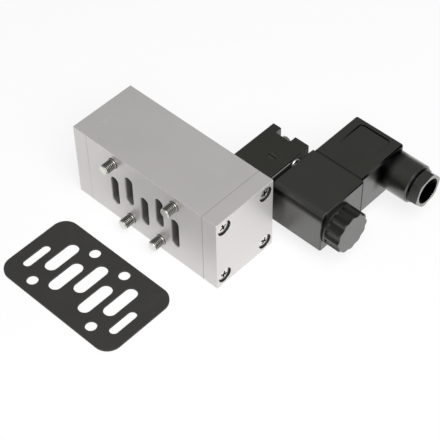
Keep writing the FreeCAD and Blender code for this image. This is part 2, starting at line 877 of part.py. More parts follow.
def mounting_gasket():
    """Flat gasket with seven slots and four screw holes, lying on the floor."""
    sheet = rounded_plate(gasket_length, gasket_width, gasket_thickness, gasket_corner)
    cuts = []
    for x, shift in port_places():
        slot = slot_prism(gasket_slot_width, gasket_slot_length, gasket_thickness)
        slot.translate(Vector(x, -shift, 0))
        cuts.append(slot)
    for side in (-1, 1):
        slot = slot_prism(pilot_slot_width, pilot_slot_length, gasket_thickness)
        slot.translate(Vector(side * pilot_slot_x, -pilot_slot_shift, 0))
        cuts.append(slot)
    for x, z in mount_places():
        hole = prism(gasket_hole_d, head_sides, gasket_thickness)
        hole.translate(Vector(x, -z, 0))
        cuts.append(hole)
    sheet = sheet.cut(cuts)
    sheet.translate(Vector(gasket_x, gasket_y, -half_height))
    return sheet


def all_parts():
    """Every node's name with its solid, or with its group of like solids."""
    parts = {"valve_body": valve_body()}
    parts["spring_end_cap"] = end_cap(-1)
    parts["pilot_end_cap"] = end_cap(1)
    parts["cap_screws"] = [cap_screw(side, y, z) for side in (-1, 1) for y, z in cap_screw_places()]
    parts["mounting_screws"] = [mounting_screw(x, z) for x, z in mount_places()]
    parts["spool"] = spool()
    parts["pilot_piston"] = pilot_piston()
    parts["return_spring"] = return_spring()
    parts["pilot_base"] = pilot_base()
    parts["base_screws"] = [base_screw(side) for side in (-1, 1)]
    parts["nozzle"] = nozzle()
    parts["armature"] = armature()
    parts["armature_seal"] = armature_seal()
    parts["armature_spring"] = armature_spring()
    parts["armature_tube"] = armature_tube()
    parts["fixed_core"] = fixed_core()
    parts["clamp_plate"] = clamp_plate()
    parts["plate_screws"] = [plate_screw(y, z) for y, z in plate_screw_places()]
    parts["coil_body"] = coil_body()
    parts["coil_blades"] = coil_blades()
    parts["nut_seal"] = nut_seal()
    parts["coil_nut"] = coil_nut()
    parts["plug_seal"] = plug_seal()
    parts["plug_housing"] = plug_housing()
    parts["plug_insert"] = plug_insert()
    parts["plug_contacts"] = [plug_contact(place) for place in blade_places()]
    parts["plug_screw"] = plug_screw()
    parts["gland_grommet"] = gland_grommet()
    parts["gland_nut"] = gland_nut()
    parts["manual_override"] = manual_override()
    parts["mounting_gasket"] = mounting_gasket()
    return parts


def one_shape(piece):
    """A lone solid as it is, or a group of separate solids as one compound."""
    if isinstance(piece, list):
        return Part.makeCompound([solid for shape in piece for solid in shape.Solids])
    if len(piece.Solids) == 1:
        return piece.Solids[0]
    return piece


os.makedirs("parts", exist_ok=True)
for name, piece in all_parts().items():
    shape = one_shape(piece)
    shape.exportStep(os.path.join("parts", name + ".step"))
    print(name, "solids", len(shape.Solids), "volume", round(shape.Volume, 1), "valid", shape.isValid())
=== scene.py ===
import json
import math

import bmesh
import bpy
from bpy.props import FloatProperty, FloatVectorProperty, IntProperty, PointerProperty
from mathutils import Matrix, Vector

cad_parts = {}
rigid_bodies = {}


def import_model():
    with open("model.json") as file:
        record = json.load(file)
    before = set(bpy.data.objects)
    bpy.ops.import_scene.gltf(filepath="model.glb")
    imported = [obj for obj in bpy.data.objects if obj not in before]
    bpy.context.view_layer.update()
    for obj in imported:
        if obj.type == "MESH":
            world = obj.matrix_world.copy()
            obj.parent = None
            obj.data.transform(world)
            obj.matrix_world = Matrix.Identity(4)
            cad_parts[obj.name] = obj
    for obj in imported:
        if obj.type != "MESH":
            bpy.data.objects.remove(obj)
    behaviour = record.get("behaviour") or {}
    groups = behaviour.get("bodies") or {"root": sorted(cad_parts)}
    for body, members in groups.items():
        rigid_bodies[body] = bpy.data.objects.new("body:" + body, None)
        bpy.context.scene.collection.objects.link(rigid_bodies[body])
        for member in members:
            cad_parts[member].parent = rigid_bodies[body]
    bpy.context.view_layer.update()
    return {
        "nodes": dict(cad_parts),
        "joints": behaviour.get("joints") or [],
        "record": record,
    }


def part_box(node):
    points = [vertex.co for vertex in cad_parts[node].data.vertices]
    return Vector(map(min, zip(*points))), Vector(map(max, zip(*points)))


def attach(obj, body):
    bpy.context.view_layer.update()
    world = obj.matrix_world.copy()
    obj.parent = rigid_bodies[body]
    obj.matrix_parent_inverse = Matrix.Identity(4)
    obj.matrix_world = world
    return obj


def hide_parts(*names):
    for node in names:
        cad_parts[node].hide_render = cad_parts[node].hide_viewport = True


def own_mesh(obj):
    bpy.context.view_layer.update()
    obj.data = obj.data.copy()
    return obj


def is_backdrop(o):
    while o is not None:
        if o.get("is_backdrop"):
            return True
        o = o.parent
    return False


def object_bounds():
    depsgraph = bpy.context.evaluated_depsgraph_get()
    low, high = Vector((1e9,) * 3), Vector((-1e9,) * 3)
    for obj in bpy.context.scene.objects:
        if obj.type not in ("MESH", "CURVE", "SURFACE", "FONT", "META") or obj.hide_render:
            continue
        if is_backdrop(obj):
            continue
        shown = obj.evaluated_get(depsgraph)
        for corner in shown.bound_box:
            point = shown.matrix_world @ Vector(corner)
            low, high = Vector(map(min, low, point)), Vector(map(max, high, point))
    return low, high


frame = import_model()

bl_info = {
    "name": "Solenoid valve",
    "version": (1, 0, 0),
    "blender": (4, 5, 0),
    "location": "View3D > Sidebar > Valve",
    "description": "Finishes and fine parts of a sub-base solenoid valve, with its stage",
    "category": "Object",
}

MM = 0.001
WHITE = (1, 1, 1, 1)
BLACK = (0, 0, 0, 1)


# Settings

def colour(name, description, value):
    return FloatVectorProperty(
        name=name, description=description, default=value, subtype="COLOR", min=0, max=1)


def length(name, description, millimetres):
    return FloatProperty(
        name=name, description=description, default=millimetres * MM, unit="LENGTH", precision=5)


def share(name, description, value):
    return FloatProperty(
        name=name, description=description, default=value, subtype="FACTOR", min=0, max=1)


class ValveFinishes(bpy.types.PropertyGroup):
    aluminium: colour("Aluminium", "Clear anodised block and caps", (0.70, 0.680, 0.668))
    aluminium_rough: share("Aluminium roughness", "How far the milled faces blur reflections", 0.42)
    aluminium_metal: share("Aluminium sheen", "How far the anodised faces act as bare metal", 0.55)
    # Painted shade: the colour given to the walls of the ports and to the block's side of the seam
    # beside each cap.
    port_shade: colour("Port shade", "Walls of the ports behind the face", (0.12, 0.115, 0.105))
    # Painted shade: the colour of the caps' screw pockets and their side of the seam, of screw
    # recesses and thread grooves, and, lightened, of the clamp plate's shaded face. The seal ring
    # and the gland's sleeve take it too: black rubber, darkened further with painted shade.
    pocket_shade: colour("Pocket", "Gaps and recesses that get no light", (0.012, 0.012, 0.010))
    zinc: colour("Zinc", "Bright plated screws", (0.66, 0.65, 0.60))
    head_zinc: colour("Head zinc", "Bright plating of the cap screws", (0.86, 0.85, 0.80))
    # Painted shade: darker than the mounting screws' real bright plating, standing in for the shade
    # of their fine thread.
    shaded_stud_zinc: colour("Stud zinc", "Zinc of the mounting screws, darkened as painted shade", (0.52, 0.51, 0.47))
    steel: colour("Steel", "Turned stainless steel", (0.60, 0.60, 0.60))
    bright_steel: colour("Bright steel", "Plated sheet of the clamp plate", (0.85, 0.85, 0.83))
    spring_steel: colour("Spring steel", "Drawn wire", (0.42, 0.42, 0.43))
    brass: colour("Brass", "Turned brass", (0.80, 0.58, 0.27))
    tin: colour("Tin", "Tinned blades and contacts", (0.70, 0.69, 0.66))
    plastic: colour("Plastic", "Moulded black plastic", (0.0125, 0.0128, 0.0085))
    pale_plastic: colour("Pale plastic", "End ring of the gland", (0.16, 0.16, 0.15))
    plastic_rough: share("Plastic roughness", "Blur on the coil and the pilot base", 0.33)
    plug_rough: share("Plug roughness", "Blur on the plug and the gland", 0.30)
    rubber: colour("Rubber", "Seals", (0.016, 0.016, 0.016))
    gasket: colour("Gasket", "Flat rubber sheet", (0.032, 0.031, 0.028))
    piston: colour("Piston", "Machined white plastic", (0.72, 0.71, 0.66))
    override: colour("Override", "Override shaft", (0.024, 0.024, 0.020))


class ValveSizes(bpy.types.PropertyGroup):
    mount_pitch: length("Mounting thread", "Pitch of the mounting screws", 0.8)
    cap_pitch: length("Cap screw thread", "Pitch of the cap screws", 0.7)
    small_pitch: length("Small thread", "Pitch of the small screws", 0.5)
    recess_width: length("Cross recess", "Width across a cap screw's cross recess", 3.7)
    recess_slot: length("Cross recess arm", "Width of one arm of the cross recess", 0.95)
    recess_depth: length("Cross recess depth", "Depth of the cross recess", 1.5)
    socket: length("Socket", "Width across the flats of the mounting screws' sockets", 4.0)
    edge: length("Edge", "Softness of the edges", 0.14)
    turn_steps: IntProperty(
        name="Turn steps", description="Faces round a turned piece", default=64, min=12)


class ValveStage(bpy.types.PropertyGroup):
    focal: FloatProperty(
        name="Focal length", description="Camera lens", default=116.08, unit="CAMERA")
    top: FloatProperty(
        name="Top lamp", description="Power of the lamp overhead", default=16.5, unit="POWER")
    sky: FloatProperty(name="Sky", description="Strength of the surround", default=0.2, min=0)
    floor: colour("Floor", "Colour of the floor", (0.93, 0.93, 0.93))


def finishes():
    return bpy.context.scene.valve_finishes


def sizes():
    return bpy.context.scene.valve_sizes


# Sizes of the turned pieces, which fill the places of the plainer ones in the frame

CAP_HEAD_RADIUS = 3.5 * MM
CAP_HEAD_HEIGHT = 2.6 * MM
CAP_HEAD_DOME = 18.0 * MM
CAP_SHANK_RADIUS = 2.0 * MM
CAP_SHANK_IN_BLOCK = 9.0 * MM

MOUNT_HEAD_RADIUS = 4.25 * MM
MOUNT_HEAD_HEIGHT = 5.0 * MM
MOUNT_NECK_RADIUS = 2.1 * MM
MOUNT_SOCKET_DEPTH = 2.5 * MM

SMALL_HEAD_RADIUS = 2.75 * MM
SMALL_SHANK_RADIUS = 1.5 * MM
SMALL_THREAD_LENGTH = 8 * MM
SMALL_SOFT = 0.3 * MM
SMALL_STEPS = 40
BASE_HEAD_HEIGHT = 2.8 * MM
PLUG_HEAD_HEIGHT = 2.0 * MM
SLOT_WIDTH = 0.8 * MM
SLOT_DEPTH = 0.9 * MM

PLATE_HEAD_RADIUS = 2.7 * MM
PLATE_HEAD_RAISE = 0.5 * MM
PLATE_RECESS_WIDTH = 2.6 * MM
PLATE_RECESS_ARM = 0.6 * MM
PLATE_RECESS_DEPTH = 0.8 * MM

SOFT = 0.5 * MM
CUTTER_RAISE = 0.02 * MM
HEAD_SIDES = 12


def head_places(low, high, across):
    """The two places of a row of many-sided heads, whose corners reach from low to high."""
    reach = across / 2 / math.cos(math.pi / HEAD_SIDES)
    return low + reach, high - reach


def joint_range(name):
    """How far a sliding joint goes, in metres."""
    joint = next(j for j in frame["joints"] if j["name"] == name)
    return max(abs(value) for value in joint["range_m"])


# Shader maths

class Signal:
    """A value in a node tree; sums and products of signals add their own nodes."""

    def __init__(self, nodes, socket):
        self.nodes = nodes
        self.socket = socket

    def math(self, operation, *values):
        return self.nodes.value("ShaderNodeMath", {"operation": operation}, dict(enumerate(values)))

    def __add__(self, other):
        return self.math("ADD", self, other)

    def __radd__(self, other):
        return self.math("ADD", other, self)

    def __sub__(self, other):
        return self.math("SUBTRACT", self, other)

    def __rsub__(self, other):
        return self.math("SUBTRACT", other, self)

    def __mul__(self, other):
        return self.math("MULTIPLY", self, other)

    def __rmul__(self, other):
        return self.math("MULTIPLY", other, self)

    def __gt__(self, other):
        return self.math("GREATER_THAN", self, other)

    def __lt__(self, other):
        return self.math("LESS_THAN", self, other)

    def size(self):
        return self.math("ABSOLUTE", self)

    def root(self):
        return self.math("SQRT", self)

    def most(self, other):
        return self.math("MAXIMUM", self, other)

    def between(self, low, high):
        """0 below low, 1 above high, and smooth between them."""
        settings = {"interpolation_type": "SMOOTHSTEP"}
        inputs = {"Value": self, "From Min": low, "From Max": high}
        return self.nodes.value("ShaderNodeMapRange", settings, inputs)

    def fading(self, low, high):
        """1 below low, 0 above high, and smooth between them."""
        return 1.0 - self.between(low, high)

    def swing(self, amount):
        """How far a signal about 0.5 is above or below it, times an amount."""
        return (self - 0.5) * amount

    def mixed(self, other, weight):
        """This signal by its weight, and another by the rest."""
        return self * weight + other * (1 - weight)


class Nodes:
    """A node tree, and the one way to add a node to it."""

    def __init__(self, tree):
        self.tree = tree

    def node(self, kind, settings=None, inputs=None):
        node = self.tree.nodes.new(kind)
        for key, value in (settings or {}).items():
            setattr(node, key, value)
        for key, value in (inputs or {}).items():
            self.feed(node.inputs[key], value)
        return node

    def feed(self, socket, value):
        """Links a signal or a socket to a socket, or sets a plain value there."""
        if isinstance(value, Signal):
            value = value.socket
        if isinstance(value, bpy.types.NodeSocket):
            self.tree.links.new(value, socket)
        else:
            socket.default_value = value

    def value(self, kind, settings, inputs):
        return Signal(self, self.node(kind, settings, inputs).outputs[0])


class Paint(Nodes):
    """A material with a principled shader."""

    def __init__(self, name):
        self.material = bpy.data.materials.new(name)
        self.material.use_nodes = True
        super().__init__(self.material.node_tree)
        self.shader = self.tree.nodes["Principled BSDF"]

    def set(self, **inputs):
        """Sets the principled shader's sockets; a name's underscores stand for spaces."""
        for key, value in inputs.items():
            self.feed(self.shader.inputs[key.replace("_", " ")], value)

    def place(self, stretch=(1, 1, 1)):
        """The point on the piece, in millimetres along each axis, times a stretch."""
        spot = self.node("ShaderNodeTexCoord").outputs["Object"]
        inputs = {0: spot, 1: [s / MM for s in stretch]}
        scaled = self.node("ShaderNodeVectorMath", {"operation": "MULTIPLY"}, inputs)
        return scaled.outputs["Vector"]

    def along(self):
        """The X, Y and Z of the point on the piece, in millimetres."""
        parts = self.node("ShaderNodeSeparateXYZ", None, {"Vector": self.place()})
        return [Signal(self, parts.outputs[i]) for i in range(3)]

    def noise(self, scale, detail=2.0, rough=0.5, stretch=(1, 1, 1)):
        """Cloudy value about 0.5; scale is in features a millimetre."""
        place = self.place(stretch)
        inputs = {"Vector": place, "Scale": scale, "Detail": detail, "Roughness": rough}
        return self.value("ShaderNodeTexNoise", {"noise_dimensions": "3D"}, inputs)

    def blend(self, factor, first, second):
        """Colour between two colours."""
        settings = {"data_type": "RGBA", "blend_type": "MIX"}
        inputs = {"Factor": factor, 6: first, 7: second}
        return self.node("ShaderNodeMix", settings, inputs).outputs[2]

    def tint(self, rgb, signal, swing):
        """A colour that goes lighter and darker with a signal about 0.5."""
        return self.blend(signal, opaque(rgb, factor=1 - swing), opaque(rgb, factor=1 + swing))

    def relief(self, height, depth, strength, radius=None):
        """Normal from a height between 0 and 1 and its depth in millimetres, over soft edges."""
        edge = sizes().edge if radius is None else radius
        soft = self.node("ShaderNodeBevel", {"samples": 4}, {"Radius": edge}).outputs[0]
        inputs = {"Height": height, "Distance": depth * MM, "Strength": strength, "Normal": soft}
        return self.node("ShaderNodeBump", None, inputs).outputs[0]


def opaque(rgb, factor=1.0, lift=0.0):
    """A colour times a factor and raised by a lift, with full alpha."""
    return [min(1.0, max(0.0, c * factor + lift)) for c in rgb] + [1]


# Painted shade, each from a point's X, Y and Z in millimetres: 1 where shade is painted, and 0
# elsewhere.
# A name that ends in X or Y says where a shade begins and ends along that axis, and one that
# ends in HALF how far it reaches to each side of a line, sharp and then soft.

PANEL_MIDDLE = (50.8, 83.55)
PANEL_SIDES = (8.2, 8.05)
PANEL_CORNER = 2.0
PANEL_LINE_HALF = (0.2, 0.4)
PANEL_FADE_Y = (77.55, 87.55)
PANEL_FADE_X = (56.5, 59.0)
PANEL_FADE = 0.8
BARREL_RADIUS = 9.1
BARREL_SIDE_Y = (94.5, 96.0)
PLUG_EDGE_Y = (69.0, 72.0)
COIL_EDGE_Y = (48.0, 56.0)
COIL_SEAM_HALF = (0.9, 1.15)
BLOCK_SEAM_HALF = (0.05, 0.14)
PLATE_SCREW_Y = (52.0, 53.0)
GLAND_MOUTH_RADIUS = 6.25
GLAND_COLLAR_WIDTH = 1.15
PORT_RIM_Y = (0.15, 0.9)
PORT_REACH = (22.0, 24.4, 17.3)
CAP_POCKET_GAP = 0.3
CAP_POCKET_FLOOR = 3.0
CAP_POCKET_LIP = (0.05, 0.25)
FLUTE_DEPTH = (0.3, 1.0)

BLOCK_SEAM_SHADE = 0.55
PANEL_SHADE = 0.75
PLATE_SCREW_SHADE = 0.95
COLLAR_SHADE = 0.85
NUT_SHADE = 0.3
FLUTE_SHADE = 0.15
COIL_EDGE_SHADE = 0.8
COIL_SIDE_SHADE = 0.65
COIL_CORNER_SHADE = 0.8
BARREL_SHADE = 0.9


def block_seam(x):
    """Painted shade in the gap between the block and each cap."""
    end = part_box("valve_body")[1].x / MM
    return (x.size() - end).size().fading(*BLOCK_SEAM_HALF) * BLOCK_SEAM_SHADE


def port_walls(x, y, z):
    """Painted shade on the walls of the ports, from just behind their rims."""
    behind = y.between(*PORT_RIM_Y)
    reach_x, reach_y, reach_z = PORT_REACH
    return behind * (x.size() < reach_x) * (z.size() < reach_z) * (y < reach_y)


def screw_pockets(x, y, z):
    """Painted shade in the four screw pockets of each cap, round the heads."""
    low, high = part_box("cap_screws")
    across = 2 * CAP_HEAD_RADIUS
    middle_y = (low.y + high.y) / 2 / MM
    head_y = head_places(low.y, high.y, across)[1] / MM - middle_y
    head_z = head_places(low.z, high.z, across)[1] / MM
    off_y = (y - middle_y).size() - head_y
    off_z = z.size() - head_z
    distance = (off_y * off_y + off_z * off_z).root()
    pocket = CAP_HEAD_RADIUS / MM + CAP_POCKET_GAP
    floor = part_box("valve_body")[1].x / MM + CAP_POCKET_FLOOR
    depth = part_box("pilot_end_cap")[1].x / MM - x.size()
    return (distance < pocket) * depth.between(*CAP_POCKET_LIP) * (x.size() > floor)


def panel_line(x, y, z):
    """Painted shade along the edge of the plug's sunken panel, whose corners are rounded."""
    middle_x, middle_y = PANEL_MIDDLE
    side_x, side_y = PANEL_SIDES
    over_x = ((x - middle_x).size() - (side_x - PANEL_CORNER)).most(0.0)
    over_y = ((y - middle_y).size() - (side_y - PANEL_CORNER)).most(0.0)
    off = (over_x * over_x + over_y * over_y).root() - PANEL_CORNER
    fade = y.between(*PANEL_FADE_Y) * (1.0 - x.between(*PANEL_FADE_X) * PANEL_FADE)
    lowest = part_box("plug_housing")[1].z / MM - 0.5
    return off.size().fading(*PANEL_LINE_HALF) * (z > lowest) * fade * PANEL_SHADE


def seam_line(y, z):
    """Painted shade in the gap between coil and plug, below the top."""
    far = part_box("coil_body")[1]
    middle = far.y / MM - 0.1
    highest = far.z / MM - 0.6
    return (y - middle).size().fading(*COIL_SEAM_HALF) * (z < highest)


def plate_shade(x, y, z):
    """Painted shade on the plate's face towards the coil, and nearly as dark a painted shadow
    beside its upper screw.
    """
    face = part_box("clamp_plate")[1].x / MM
    beside = y.between(*PLATE_SCREW_Y) * PLATE_SCREW_SHADE
    return x.between(face - 0.05, face - 0.01).most(beside)


def reach_from(y, z, node):
    """Distance from a node's own axis along X, in millimetres."""
    low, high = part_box(node)
    off = y - (low.y + high.y) / 2 / MM
    return (off * off + z * z).root()


def gland_shade(x, y, z):
    """Painted shade inside the gland's mouth, and on the collar behind its hexagon."""
    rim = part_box("gland_nut")[1].x / MM - 0.05
    collar_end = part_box("plug_housing")[1].x / MM + GLAND_COLLAR_WIDTH
    mouth = (reach_from(y, z, "gland_nut") < GLAND_MOUTH_RADIUS) * (x < rim)
    return mouth.most((x < collar_end) * COLLAR_SHADE)


def flutes(x, y, z):
    """Painted shade on the coil nut's side, deeper in its flutes, but not on its end face."""
    low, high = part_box("coil_nut")
    crest = (high.z - low.z) / 2 / MM
    end = high.x / MM - 0.25
    depth = crest - reach_from(y, z, "coil_nut")
    return (NUT_SHADE + depth.between(*FLUTE_DEPTH) * FLUTE_SHADE) * (x < end)


def upper_edge(x, z, face, top, drop):
    """Painted shade on the side of an upper edge that runs along Y at a face's X, as far down as
    the drop.
    """
    side = x > face - 0.6
    lower_end = top - drop
    below_bevel = z.fading(top - 0.2, top - 0.05)
    return side * z.between(lower_end - 0.3, lower_end) * below_bevel


def coil_shade(x, y, z):
    """Painted shade in the coil's gap to the plug and on its upper edges, and a painted shadow on
    the corner beside the nut.
    """
    near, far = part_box("coil_body")
    top = far.z / MM
    face = far.x / MM
    side = near.y / MM
    front_edge = upper_edge(x, z, face, top, drop=0.6) * y.between(*COIL_EDGE_Y)
    side_edge = (y < side + 0.7) * z.between(top - 5.5, top - 2.5)
    corner = (x > face - 0.3) * (y < side + 3.0) * z.between(0.0, 3.0)
    dark = seam_line(y, z).most(front_edge * COIL_EDGE_SHADE)
    return dark.most(side_edge * COIL_SIDE_SHADE).most(corner * COIL_CORNER_SHADE)


def barrel_corner(x, y, z):
    """Painted shade in the corner round the root of the gland's barrel, and on the plug's upper
    edge before it.
    """
    near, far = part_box("plug_housing")
    face = 2 * PANEL_MIDDLE[0] - near.x / MM
    away = reach_from(y, z, "gland_nut") - BARREL_RADIUS
    below = away.fading(1.0, 6.0) * z.between(-6.0, 1.0)
    above = away.fading(3.0, 7.0) * z.between(4.0, 7.0)
    on_face = below.most(above) * (x > face - 0.7) * y.fading(*BARREL_SIDE_Y)
    along_barrel = (x - face).fading(0.5, 5.5)
    edge = upper_edge(x, z, face, far.z / MM, drop=1.0) * y.fading(*PLUG_EDGE_Y)
    return (on_face * along_barrel).most(edge * (x < face + 0.1)) * BARREL_SHADE


def plug_shade(x, y, z):
    """Painted shade on the plug's panel line, in the gap to the coil and in the corner round the
    barrel.
    """
    return panel_line(x, y, z).most(seam_line(y, z)).most(barrel_corner(x, y, z))


# Finishes

def anodised(name, stretch, hollow, gloom):
    """Clear anodised aluminium with fine tool lines; stretch says which way they run.

    The third argument marks where shade is painted, besides the seam to the caps, and the fourth is
    the colour of that painted shade.
    """
    look = finishes()
    paint = Paint(name)
    lines = paint.noise(scale=1.0, detail=3.0, rough=0.6, stretch=stretch)
    clouds = paint.noise(scale=0.05)
    speckle = paint.noise(scale=7.0, detail=1.0)
    grain = lines.mixed(speckle, 0.7)
    shade = paint.tint(look.aluminium, grain.mixed(clouds, 0.6), swing=0.05)
    rough = look.aluminium_rough + grain.swing(0.14) + clouds.swing(0.08)
    x, y, z = paint.along()
    # Painted shade: the seam and the shaded places take the shade colour, less metal and more
    # roughness.
    dark = block_seam(x).most(hollow(x, y, z))
    paint.set(Base_Color=paint.blend(dark, shade, opaque(gloom)), Roughness=rough + dark * 0.2)
    paint.set(Metallic=look.aluminium_metal - dark * 0.5)
    paint.set(Normal=paint.relief(grain, depth=0.012, strength=0.5, radius=0.05 * MM))
    return paint.material


def metal(name, rgb, rough, stretch=(1, 1, 1), scale=6.0, radius=None, dark=None):
    """Bare or plated metal with fine marks and a little tarnish; the last argument, if given, marks
    where shade is painted on it.
    """
    paint = Paint(name)
    marks = paint.noise(scale=scale, detail=3.0, rough=0.6, stretch=stretch)
    tarnish = paint.noise(scale=0.6, detail=3.0, rough=0.6)
    shade = paint.tint(rgb, marks.mixed(tarnish, 0.4), swing=0.14)
    bare = 1.0
    # Painted shade: the marked place takes a dark colour and less metal.
    if dark:
        hidden = dark(*paint.along())
        shade = paint.blend(hidden, shade, opaque(finishes().pocket_shade, factor=2.5))
        bare = 1.0 - hidden * 0.7
    paint.set(Metallic=bare, Base_Color=shade)
    paint.set(Roughness=rough + marks.swing(0.16) + tarnish.swing(0.14))
    paint.set(Normal=paint.relief(marks, depth=0.004, strength=0.5, radius=radius))
    return paint.material


def shadowed(name):
    """Metal painted with shade for faces deep in a recess or a groove, where hardly any light gets.
    """
    paint = Paint(name)
    grime = paint.noise(scale=3.0, detail=3.0)
    paint.set(Base_Color=paint.tint(finishes().pocket_shade, grime, swing=0.4))
    paint.set(Roughness=0.6 + grime.swing(0.3), Metallic=0.3)
    paint.set(Normal=paint.relief(grime, depth=0.01, strength=0.3, radius=0.02 * MM))
    return paint.material


def moulded(name, rgb, rough, depth, sheen, radius=None, coat_rough=0.28, line=None, pale=None):
    """Moulded plastic with a fine eroded texture of a depth, a little dust and soft edges.

    line marks where black painted shade goes, which mirrors nothing; pale marks a face given the
    pale plastic colour in the same way.
    """
    paint = Paint(name)
    fine = paint.noise(scale=9.0, rough=0.6)
    flow = paint.noise(scale=0.09, detail=3.0, rough=0.55)
    dust = paint.noise(scale=1.3, detail=4.0, rough=0.7).between(0.62, 0.85)
    shade = paint.tint(rgb, fine.mixed(flow, 0.4), swing=0.22)
    shade = paint.blend(dust * 0.35, shade, opaque(rgb, lift=0.05))
    roughness = rough + flow.swing(0.16) + fine.swing(0.10) + dust * 0.08
    coat = 0.8
    if pale:
        shade = paint.blend(pale(*paint.along()), shade, opaque(finishes().pale_plastic))
    if line:
        # Painted shade: black, bare metal and no coat, so that it mirrors nothing.
        groove = line(*paint.along())
        shade = paint.blend(groove, shade, BLACK)
        coat = coat - groove * coat
        paint.set(Metallic=groove)
    paint.set(Base_Color=shade, Roughness=roughness, Coat_Weight=coat)
    paint.set(Specular_IOR_Level=sheen, Coat_Roughness=coat_rough)
    paint.set(Normal=paint.relief(fine, depth=depth, strength=0.35, radius=radius))
    return paint.material


def rubbery(name, rgb, rough=0.72, grain=5.0, speck=0.0, sheen=0.4):
    """Matt rubber with a fine grain; speck says how many pale dust specks lie on it."""
    paint = Paint(name)
    fine = paint.noise(scale=grain, detail=3.0, rough=0.65)
    flow = paint.noise(scale=0.12)
    shade = paint.tint(rgb, fine.mixed(flow, 0.6), swing=0.30)
    if speck:
        dots = paint.noise(scale=2.4, detail=5.0, rough=0.8).between(0.64, 0.74)
        shade = paint.blend(dots * speck, shade, opaque(rgb, lift=0.07))
    paint.set(Base_Color=shade, Roughness=rough + fine.swing(0.18), Specular_IOR_Level=sheen)
    paint.set(Normal=paint.relief(fine, depth=0.03, strength=0.4, radius=0.05 * MM))
    return paint.material


def dress(node, material):
    """Gives a frame node its finish."""
    for slot in frame["nodes"][node].material_slots:
        slot.material = material


# Mesh tools

TINY = 1e-7
THREAD_DEPTH = 0.42
THREAD_FLANK = 2.7
POINTS_A_PITCH = 8
RECESS_TAPER = 0.55


def smooth_mesh(name, verts, faces, sharp_degrees=35):
    """Mesh with smooth faces, but for edges sharper than an angle."""
    mesh = bpy.data.meshes.new(name)
    mesh.from_pydata(verts, [], faces)
    build = bmesh.new()
    build.from_mesh(mesh)
    bmesh.ops.recalc_face_normals(build, faces=build.faces)
    for face in build.faces:
        face.smooth = True
    limit = math.radians(sharp_degrees)
    for edge in build.edges:
        edge.smooth = len(edge.link_faces) == 2 and edge.calc_face_angle(0) < limit
    build.to_mesh(mesh)
    build.free()
    return mesh


def arc(centre, radius, start, stop, steps):
    """Points (height, radius) on an arc in a turned outline; in degrees, 0 outwards and 90 up."""
    points = []
    for i in range(steps + 1):
        angle = math.radians(start + (stop - start) * i / steps)
        height = centre[0] + radius * math.sin(angle)
        points.append((height, centre[1] + radius * math.cos(angle)))
    return points


def shank_outline(tip, seat, radius, soft):
    """Outline of a shank with a bevelled tip, from its end to the head's seat."""
    return [(tip, 0), (tip, radius - soft), (tip + soft, radius), (seat, radius)]


def top_outline(top, radius, soft, steps):
    """Outline of a flat top with a rounded rim, from the rim to the middle."""
    return arc((top - soft, radius - soft), soft, 0, 90, steps) + [(top, 0)]


class Thread:
    """A helical thread cut into a stretch of a turned outline."""

    def __init__(self, low, high, pitch):
        self.low = low
        self.high = high
        self.pitch = pitch
        self.depth = THREAD_DEPTH * pitch

    def cut(self, height, turn):
        """How deep the thread is at this height and share of a turn."""
        if not self.low < height < self.high:
            return 0.0
        saw = (height / self.pitch - turn) % 1.0
        groove = min(1.0, THREAD_FLANK * (0.5 - abs(saw - 0.5)))
        fade = min(1.0, (height - self.low) / self.pitch, (self.high - height) / self.pitch)
        return self.depth * groove * fade


def refine(outline, thread):
    """Adds points along the threaded stretch, a few to a pitch."""
    points = [outline[0]]
    for (z0, r0), (z1, r1) in zip(outline, outline[1:]):
        covered = min(max(z0, z1), thread.high) - max(min(z0, z1), thread.low)
        count = 1
        if abs(r1 - r0) < TINY and covered > 0:
            count = max(1, math.ceil(POINTS_A_PITCH * covered / thread.pitch))
        for i in range(1, count + 1):
            points.append((z0 + (z1 - z0) * i / count, r0 + (r1 - r0) * i / count))
    return points


def turned(name, outline, thread, steps=None):
    """Solid of revolution about Z from (height, radius) points, with a thread."""
    steps = steps or sizes().turn_steps
    verts = []
    rows = []
    for z, r in refine(outline, thread):
        if r < TINY:
            rows.append([len(verts)])
            verts.append((0, 0, z))
            continue
        row = []
        for i in range(steps):
            angle = 2 * math.pi * i / steps
            here = r - thread.cut(z, i / steps)
            row.append(len(verts))
            verts.append((here * math.cos(angle), here * math.sin(angle), z))
        rows.append(row)
    faces = []
    for low, high in zip(rows, rows[1:]):
        for i in range(steps):
            j = (i + 1) % steps
            if len(low) == 1:
                faces.append((low[0], high[i], high[j]))
            elif len(high) == 1:
                faces.append((low[i], high[0], low[j]))
            else:
                faces.append((low[i], high[i], high[j], low[j]))
    return smooth_mesh(name, verts, faces)


def pick_materials(mesh, pick):
    """Gives each face the material whose number pick(radius, height) of its middle says."""
    for face in mesh.polygons:
        face.material_index = int(pick(face.center.xy.length, face.center.z))


def tapered_bar(half_width, half_thick, depth, taper, top):
    """Box whose ends draw in towards its bottom, as (verts, faces)."""
    verts = []
    y = half_thick
    for z, shrink in ((top, 1.0), (top - depth, taper)):
        x = half_width * shrink
        verts += [(-x, -y, z), (x, -y, z), (x, y, z), (-x, y, z)]
    faces = [(0, 1, 2, 3), (7, 6, 5, 4), (0, 4, 5, 1), (1, 5, 6, 2), (2, 6, 7, 3), (3, 7, 4, 0)]
    return verts, faces


